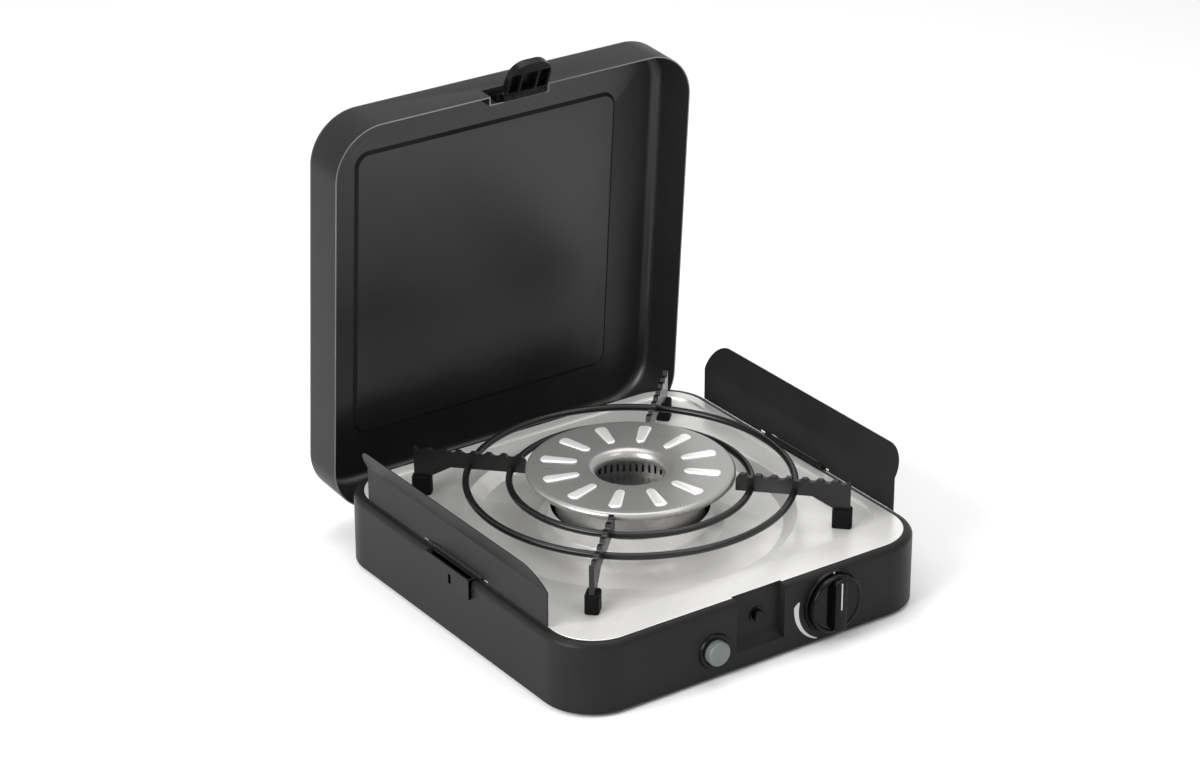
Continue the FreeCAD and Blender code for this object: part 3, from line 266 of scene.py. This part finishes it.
edgeRounding = {  # node: (material, edge radius in mm)
    "body_shell": ("blackPowderCoat", 0.35),
    "base_cover": ("blackPowderCoat", 0.25),
    "lid_shell": ("blackPowderCoat", 0.35),
    "hob_plate": ("rolledStainless", 0.30),
    "wind_shield_left": ("blackPowderCoat", 0.25),
    "wind_shield_right": ("blackPowderCoat", 0.25),
    "shield_clip_left": ("blackPowderCoat", 0.25),
    "shield_clip_right": ("blackPowderCoat", 0.25),
    "burner_bowl": ("pressedStainless", 0.2),
    "burner_chimney": ("pressedStainless", 0.0),
    "flame_ring": ("pressedStainless", 0.0),
    "knob_bezel": ("blackAbs", 0.3),
    "latch_tab": ("blackAbs", 0.4),
    "latch_bracket": ("blackAbs", 0.3),
    "igniter_bezel": ("blackAbs", 0.3),
    "igniter_housing": ("blackAbs", 0.0),
    "igniter_button": ("sagePolyamide", 0.3),
    "rubber_feet": ("blackRubber", 0.3),
    "gas_tap": ("castAluminium", 0.0),
    "gas_pipe": ("drawnCopper", 0.0),
    "gas_inlet": ("turnedBrass", 0.2),
    "inlet_nut": ("turnedBrass", 0.3),
    "injector": ("turnedBrass", 0.0),
    "injector_elbow": ("turnedBrass", 0.0),
    "tap_plunger": ("turnedBrass", 0.0),
    "electrode_insulator": ("glazedCeramic", 0.0),
    "sensor_lead": ("glassSleeve", 0.0),
    "ignition_lead": ("glassSleeve", 0.0),
}
for name in nodes:
    if name.startswith("support_"):
        edgeRounding[name] = ("blackStoveEnamel", 0.3 if "arm" in name else 0.0)
    elif name in ("catch_screw", "latch_pin") or name.startswith("shield_pin"):
        edgeRounding[name] = ("blackenedSteel", 0.0)
    elif name.startswith("boot_"):
        edgeRounding[name] = ("blackRubber", 0.4)
    elif name not in edgeRounding and name not in ("burner_cap", "control_knob"):
        edgeRounding[name] = ("zincPlate", 0.0)


softEdge = {  # how the copied pieces are welded, rounded and shaded
    "weld": 0.002,
    "flatAngle": 0.8,
    "segments": 2,
    "cornerAngle": 32.0,
    "smoothAngle": 30.0,
}


def meshCopy(node, name):  # the node's mesh with its doubles welded and its flat faces joined
    mesh = nodes[node].data.copy()
    mesh.name = name
    work = bmesh.new()
    work.from_mesh(mesh)
    bmesh.ops.remove_doubles(work, verts=work.verts, dist=softEdge["weld"] * mm)
    bmesh.ops.dissolve_limit(work, angle_limit=math.radians(softEdge["flatAngle"]), verts=work.verts,
                             edges=work.edges)
    work.to_mesh(mesh)
    work.free()
    thing = bpy.data.objects.new(name, mesh)
    bpy.context.scene.collection.objects.link(thing)
    return thing


def finishPiece(thing, node, material, smoothAngle):
    thing.data.materials.clear()
    thing.data.materials.append(materials[material])
    for face in thing.data.polygons:
        face.use_smooth = True
    thing.data.set_sharp_from_angle(angle=math.radians(smoothAngle))
    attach(thing, nodes[node]["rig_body"])
    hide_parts(node)


def roundEdges(node, material, radius):
    thing = meshCopy(node, node + "_soft")
    soft = thing.modifiers.new("softEdges", "BEVEL")
    soft.width = radius * mm
    soft.segments = softEdge["segments"]
    soft.limit_method = "ANGLE"
    soft.angle_limit = math.radians(softEdge["cornerAngle"])
    soft.use_clamp_overlap = True
    soft.harden_normals = True
    finishPiece(thing, node, material, softEdge["smoothAngle"])


for node, (material, radius) in edgeRounding.items():
    if radius > 0:
        roundEdges(node, material, radius)
    else:
        nodes[node].data.materials.clear()
        nodes[node].data.materials.append(materials[material])


paintedLid = {
    "hinge": (135.6, 35.9),
    "openAngle": 86.2,
    "rimHeight": 17.7,  # of the lid's edge over the hinge when it is shut
    "rimBand": 0.25,
    "middle": (0.0, 164.0, 188.0),
}


def paintLid(thing, look):  # the inside has the thick coat, the sheet's edge gets a grey painted highlight
    thing.data.materials.append(materials["rimHighlightCoat"])
    thing.data.materials.append(materials["thickPowderCoat"])
    turned = math.radians(look["openAngle"])
    y, z = look["hinge"]
    middle = Vector(look["middle"]) * mm
    for tile in thing.data.polygons:
        shutHeight = (tile.center.y - y * mm) * math.sin(turned) + (tile.center.z - z * mm) * math.cos(turned)
        # faces in the band at the rim take the grey painted highlight, faces turned inwards take the thick
        # coat
        if shutHeight < (look["rimHeight"] + look["rimBand"]) * mm:
            tile.material_index = 1
        elif tile.normal.dot(tile.center - middle) < 0:
            tile.material_index = 2


paintLid(bpy.data.objects["lid_shell_soft"], paintedLid)
print("edges rounded")


# pieces modelled anew

def blankMesh(name, work):  # a finished bmesh as an object, faces outwards
    bmesh.ops.remove_doubles(work, verts=work.verts, dist=0.001 * mm)
    bmesh.ops.recalc_face_normals(work, faces=work.faces)
    mesh = bpy.data.meshes.new(name)
    work.to_mesh(mesh)
    work.free()
    thing = bpy.data.objects.new(name, mesh)
    bpy.context.scene.collection.objects.link(thing)
    return thing


def spinProfile(work, profile, steps):  # (radius, height) in mm turned about the upright axis
    ring = [work.verts.new((r * mm, 0.0, z * mm)) for r, z in profile]
    edges = [work.edges.new((ring[i], ring[(i + 1) % len(ring)])) for i in range(len(ring))]
    bmesh.ops.spin(work, geom=ring + edges, cent=(0, 0, 0), axis=(0, 0, 1), angle=math.tau,
                   steps=steps, use_merge=True)


def roundedBar(length, width, height, endRadius, topRadius, taper=1.0):
    # a bar lying along X on z 0, its upright corners and top edges rounded; taper widens its far end
    bar = bmesh.new()
    bmesh.ops.create_cube(bar, size=1.0)
    bmesh.ops.scale(bar, vec=(length * mm, width * mm, height * mm), verts=bar.verts)
    bmesh.ops.translate(bar, vec=(0.0, 0.0, height * mm / 2), verts=bar.verts)
    upright = [e for e in bar.edges if abs(e.verts[0].co.z - e.verts[1].co.z) > height * mm / 2]
    bmesh.ops.bevel(bar, geom=upright, offset=endRadius * mm, segments=6, profile=0.5,
                    affect="EDGES", material=-1)
    rim = [e for e in bar.edges if all(v.co.z > (height - 0.01) * mm for v in e.verts)]
    bmesh.ops.bevel(bar, geom=rim, offset=topRadius * mm, segments=4, profile=0.5,
                    affect="EDGES", material=-1)
    for v in bar.verts:
        v.co.y *= 1.0 + (taper - 1.0) * v.co.x / (length * mm)
    return bar


def addInto(work, part, matrix):  # puts a finished part into a bigger piece
    part.transform(matrix)
    carrier = bpy.data.meshes.new("carrier")
    part.to_mesh(carrier)
    part.free()
    work.from_mesh(carrier)
    bpy.data.meshes.remove(carrier)


def turnBy(axis, degrees):
    return Matrix.Rotation(math.radians(degrees), 4, axis)


def thicken(work, depth):  # gives a flat film its thickness, along the way of depth
    film = bmesh.ops.extrude_face_region(work, geom=work.faces[:])
    bmesh.ops.translate(work, vec=depth, verts=[g for g in film["geom"] if isinstance(g, bmesh.types.BMVert)])


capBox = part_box("burner_cap")
burnerCap = {
    "radius": (capBox[1][0] - capBox[0][0]) / 2 / mm,
    "face": capBox[1][2] / mm - 1.2,
    "crown": ((45.0, 0.15), (66.0, 0.1)),  # radius and rise over the face
    "edgeRadius": 3.2,
    "lip": 4.4,
    "hole": 24.0,
    "throat": 7.0,
    "sheet": 0.9,
    "ribs": 12,
    "ribInner": 37.4,
    "ribOuter": 64.0,
    "ribWidth": 8.4,
    "ribHeight": 1.15,
    "ribRoot": 0.6,
    "ribEnd": 3.9,
    "ribEdge": 1.5,
    "ribTaper": 1.45,
    "ribTurn": 14.6,
    # rib faces higher than this over the face take the lighter material, a painted highlight
    "highlightAbove": 0.35,
}


def capProfile(look):  # (radius, height) round the sheet: throat, face, lip and back along the underside
    face, radius, hole = look["face"], look["radius"], look["hole"]
    throat, edge, sheet = look["throat"], look["edgeRadius"], look["sheet"]
    low = face - look["lip"]
    quarter = [math.radians(angle) for angle in range(0, 91, 15)]
    profile = [(hole + throat * (1 - math.cos(a)), face - throat * (1 - math.sin(a))) for a in quarter]
    profile += [(r, face + rise) for r, rise in look["crown"]]
    profile += [(radius - edge + edge * math.sin(a), face - edge + edge * math.cos(a)) for a in quarter]
    profile += [(radius, low), (radius - sheet / 2, low - 0.25), (radius - sheet, low)]
    profile += [(radius - sheet, face - 3.4), (radius - 3.6, face - sheet), (hole + throat, face - sheet)]
    profile += [(hole + sheet + 1.2, face - throat * 0.6), (hole + sheet, face - throat)]
    profile += [(hole + sheet / 2, face - throat - 1.2)]
    return profile


def makeBurnerCap(look):
    work = bmesh.new()
    spinProfile(work, capProfile(look), 120)
    face = look["face"]
    reach = look["ribOuter"] - look["ribInner"]
    for i in range(look["ribs"]):
        rib = roundedBar(reach, look["ribWidth"], look["ribHeight"] + look["ribRoot"], look["ribEnd"],
                         look["ribEdge"], look["ribTaper"])
        middle = Matrix.Translation(((look["ribInner"] + reach / 2) * mm, 0.0, (face - look["ribRoot"]) * mm))
        addInto(work, rib, turnBy("Z", look["ribTurn"] + 360.0 * i / look["ribs"]) @ middle)
    cap = blankMesh("pressedCap", work)
    finishPiece(cap, "burner_cap", "pressedStainless", 40.0)
    # the rib tops get the lighter material: a painted highlight on the smoother, polished steel
    cap.data.materials.append(materials["polishedRibHighlight"])
    for tile in cap.data.polygons:
        if tile.center.z > (face + look["highlightAbove"]) * mm:
            tile.material_index = 1


makeBurnerCap(burnerCap)
print("burner cap pressed")


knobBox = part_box("control_knob")
controlKnob = {
    "centre": ((knobBox[0][0] + knobBox[1][0]) / 2 / mm, (knobBox[0][2] + knobBox[1][2]) / 2 / mm),
    "back": knobBox[1][1] / mm,
    "radius": (knobBox[1][0] - knobBox[0][0]) / 2 / mm,
    "front": 8.5,
    "disc": 4.1,
    "bladeLength": 38.6,
    "bladeWidth": 10.0,
    "bladeRoot": 1.0,
    "discSink": 0.9,
    "pointerLength": 20.5,
    "pointerWidth": 1.1,
    "pointerEnd": 1.2,  # from the blade's end
    "ink": 0.1,
}


def facing(look):  # from a piece built on z 0 to one that faces forward from the knob's back
    x, z = look["centre"]
    return Matrix.Translation((x * mm, look["back"] * mm, z * mm)) @ turnBy("X", 90)


def makeKnob(look):
    work = bmesh.new()
    r, disc = look["radius"], look["disc"]
    sunk = disc - look["discSink"]
    spinProfile(work, [
        (0.4, 0.0), (r - 0.3, 0.0), (r, 0.3), (r, disc - 1.0), (r - 0.3, disc - 0.4), (r - 1.0, disc),
        (r - 1.9, disc), (r - 2.2, disc - 0.15), (r - 2.8, sunk), (8.0, sunk), (0.4, sunk)], 96)
    root = disc - look["bladeRoot"]
    blade = roundedBar(look["bladeLength"], look["bladeWidth"], look["front"] - root, 3.4, 1.0)
    addInto(work, blade, Matrix.Translation((0, 0, root * mm)) @ turnBy("Z", 90))
    knob = blankMesh("turnKnob", work)
    knob.data.transform(facing(look))
    finishPiece(knob, "control_knob", "polishedAbs", 35.0)
    line = roundedBar(look["pointerLength"], look["pointerWidth"], look["ink"], 0.3, 0.03)
    shift = (look["bladeLength"] - look["pointerLength"]) / 2 - look["pointerEnd"]
    line.transform(Matrix.Translation((0, shift * mm, (look["front"] - 0.02) * mm)) @ turnBy("Z", 90))
    pointer = blankMesh("knobPointer", line)
    pointer.data.transform(facing(look))
    pointer.data.materials.append(materials["whitePadPrint"])
    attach(pointer, nodes["control_knob"]["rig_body"])


makeKnob(controlKnob)


offMark = {
    "centre": controlKnob["centre"],
    "radius": 0.75,
    "ring": controlKnob["radius"] + 1.1,
    "front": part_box("knob_bezel")[0][1] / mm,
    "ink": 0.06,
}


def printOffMark(look):  # small dot on the ring above the knob
    work = bmesh.new()
    bmesh.ops.create_circle(work, cap_ends=True, segments=20, radius=look["radius"] * mm)
    thicken(work, (0, 0, look["ink"] * mm))
    x, z = look["centre"]
    place = Matrix.Translation((x * mm, look["front"] * mm, (z + look["ring"]) * mm))
    work.transform(place @ turnBy("X", 90))
    dot = blankMesh("offMark", work)
    dot.data.materials.append(materials["whitePadPrint"])
    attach(dot, nodes["knob_bezel"]["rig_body"])


printOffMark(offMark)
print("knob moulded")


flameMark = {  # printed wedge beside the knob that grows with the flame
    "centre": controlKnob["centre"],
    "wall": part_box("body_shell")[0][1] / mm,
    "inner": 27.6,
    "thick": 4.6,
    "thin": 0.7,
    "start": 166.0,
    "end": 246.0,
    "ink": 0.05,
}


def printFlameMark(look):
    work = bmesh.new()
    bmesh.ops.create_grid(work, x_segments=36, y_segments=2, size=0.5)
    x, z = look["centre"]
    for v in work.verts:
        along, across = v.co.x + 0.5, v.co.y + 0.5
        a = math.radians(look["start"] + (look["end"] - look["start"]) * along)
        width = (look["thick"] + (look["thin"] - look["thick"]) * along) * min(1.0, 0.25 + along * 9)
        radius = look["inner"] + across * width
        v.co = Vector((x + radius * math.cos(a), look["wall"] - look["ink"], z + radius * math.sin(a))) * mm
    thicken(work, (0, look["ink"] * 0.9 * mm, 0))
    mark = blankMesh("flameMark", work)
    mark.data.materials.append(materials["whitePadPrint"])
    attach(mark, nodes["body_shell"]["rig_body"])


printFlameMark(flameMark)
print("flame mark printed")


# studio: pale floor, white surroundings, soft lamps

studio = {
    "floorHeight": -3.0,
    "floorColour": "#f2f2f2",
    "worldColour": "#ffffff",
    "worldStrength": 0.55,
    "lamps": [  # place, aim, width, height, power
        ((-1.7, -0.2, 1.0), (0.0, 0.0, 0.1), 1.2, 1.2, 44.0),
        ((0.5, -1.4, 1.7), (0.0, 0.0, 0.1), 0.9, 0.3, 6.0),
        ((0.2, 0.3, 2.0), (0.0, 0.0, 0.1), 1.8, 1.4, 24.0),
    ],
}


def plainWhiteSeen(tree):  # 1 for the camera, for mirror views and through glass, else 0
    path = addNode(tree, "ShaderNodeLightPath")
    seen = addNode(tree, "ShaderNodeMath", {"operation": "MAXIMUM"},
                   {0: path.outputs["Is Camera Ray"], 1: path.outputs["Is Transmission Ray"]}).outputs[0]
    return addNode(tree, "ShaderNodeMath", {"operation": "MAXIMUM"},
                   {0: seen, 1: path.outputs["Is Glossy Ray"]}).outputs[0]


def layFloor(look):
    work = bmesh.new()
    bmesh.ops.create_grid(work, x_segments=1, y_segments=1, size=6.0)
    bmesh.ops.translate(work, vec=(0.0, 0.0, look["floorHeight"] * mm), verts=work.verts)
    mesh = bpy.data.meshes.new("floor")
    work.to_mesh(mesh)
    work.free()
    floor = bpy.data.objects.new("floor", mesh)
    bpy.context.scene.collection.objects.link(floor)
    material = bpy.data.materials.new("paleFloor")
    material.use_nodes = True
    tree = material.node_tree
    tree.nodes["Principled BSDF"].inputs["Base Color"].default_value = toLinear(look["floorColour"])
    tree.nodes["Principled BSDF"].inputs["Roughness"].default_value = 0.9
    mesh.materials.append(material)


def lightWorld(look):
    world = bpy.data.worlds.new("studio")
    bpy.context.scene.world = world
    world.use_nodes = True
    tree = world.node_tree
    back = tree.nodes["Background"]
    back.inputs["Color"].default_value = toLinear(look["worldColour"])
    strength = addNode(tree, "ShaderNodeMapRange", {1: 0.0, 2: 1.0, 3: look["worldStrength"], 4: 1.0},
                       {0: plainWhiteSeen(tree)})
    tree.links.new(strength.outputs[0], back.inputs["Strength"])


def hangLamps(look):
    for i, (place, aim, width, height, power) in enumerate(look["lamps"]):
        data = bpy.data.lights.new("softbox%d" % i, "AREA")
        data.shape = "RECTANGLE"
        data.size, data.size_y = width, height
        data.energy = power
        lamp = bpy.data.objects.new("softbox%d" % i, data)
        bpy.context.scene.collection.objects.link(lamp)
        lamp.location = place
        lamp.rotation_euler = (Vector(aim) - Vector(place)).to_track_quat("-Z", "Y").to_euler()


layFloor(studio)
lightWorld(studio)
hangLamps(studio)
bpy.context.scene.view_settings.view_transform = "Standard"
print("studio ready")

bpy.context.view_layer.update()
